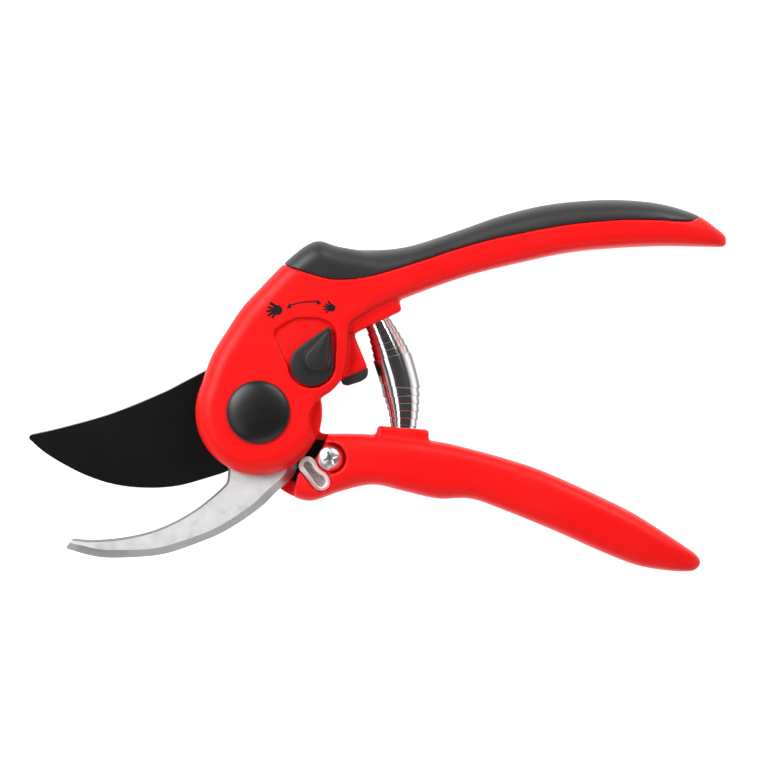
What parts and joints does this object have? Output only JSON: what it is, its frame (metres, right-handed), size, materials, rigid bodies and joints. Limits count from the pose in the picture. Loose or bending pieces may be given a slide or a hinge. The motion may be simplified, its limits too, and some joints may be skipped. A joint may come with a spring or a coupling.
{
  "type": "bypass pruning shears",
  "caption": "Bypass pruning shears lying open: black cutting blade, silver hook blade, red handles with a soft upper grip, an opening selector dial and a volute return spring.",
  "frame": {"origin": "on the pivot's axis, at the flat end of the pivot bolt, which is the plane the shears rest on", "axes": "+Z along the pivot, out of the face with the dial; +X from the pivot towards the ends of the handles; +Y towards the upper handle"},
  "size_m": [0.2141, 0.1142, 0.0237],
  "materials": {
    "red_enamel": "smooth red enamel on cast metal, satin to gloss",
    "soft_grip": "matte dark grey soft grip",
    "ground_steel": "ground and brushed steel with polished bevels",
    "zinc_plate": "bright zinc plate",
    "black_rubber": "matte black rubber",
    "black_plastic": "satin black plastic",
    "bronze": "plain bearing bronze",
    "bright_chrome": "bright chrome plate",
    "black_coating": "smooth black low-friction coating"
  },
  "bodies": {
    "upper_handle": {"upper_handle_body": "red_enamel", "upper_grip_overmould": "soft_grip", "counter_blade": "ground_steel", "counter_blade_pin_1": "zinc_plate", "counter_blade_pin_2": "zinc_plate", "bumper": "black_rubber", "pivot_bolt": "zinc_plate", "pivot_cap": "black_plastic", "pivot_bushing": "bronze", "pivot_washer": "zinc_plate", "pivot_spring_washer": "zinc_plate", "pivot_nut": "zinc_plate", "volute_spring": "bright_chrome"},
    "dial": {"dial_knob": "black_plastic", "dial_cam": "zinc_plate", "dial_wave_washer": "zinc_plate", "dial_screw": "zinc_plate"},
    "lower_handle": {"lower_handle_body": "red_enamel", "cutting_blade": "black_coating", "blade_key": "bright_chrome", "blade_screw": "zinc_plate", "blade_screw_insert": "bronze"}
  },
  "joints": [
    {"name": "squeeze", "type": "hinge", "parent": "upper_handle", "child": "lower_handle", "pos_m": [0, 0, 0], "axis": [0, 0, 1], "range_deg": [0, 28], "stiffness_Nm_per_rad": 1.3, "springref_deg": -17.19, "deforming": ["volute_spring"]},
    {"name": "opening_selector", "type": "hinge", "parent": "upper_handle", "child": "dial", "pos_m": [0.0164, 0.0146, 0.0193], "axis": [0, 0, 1], "range_deg": [0, 70]}
  ]
}
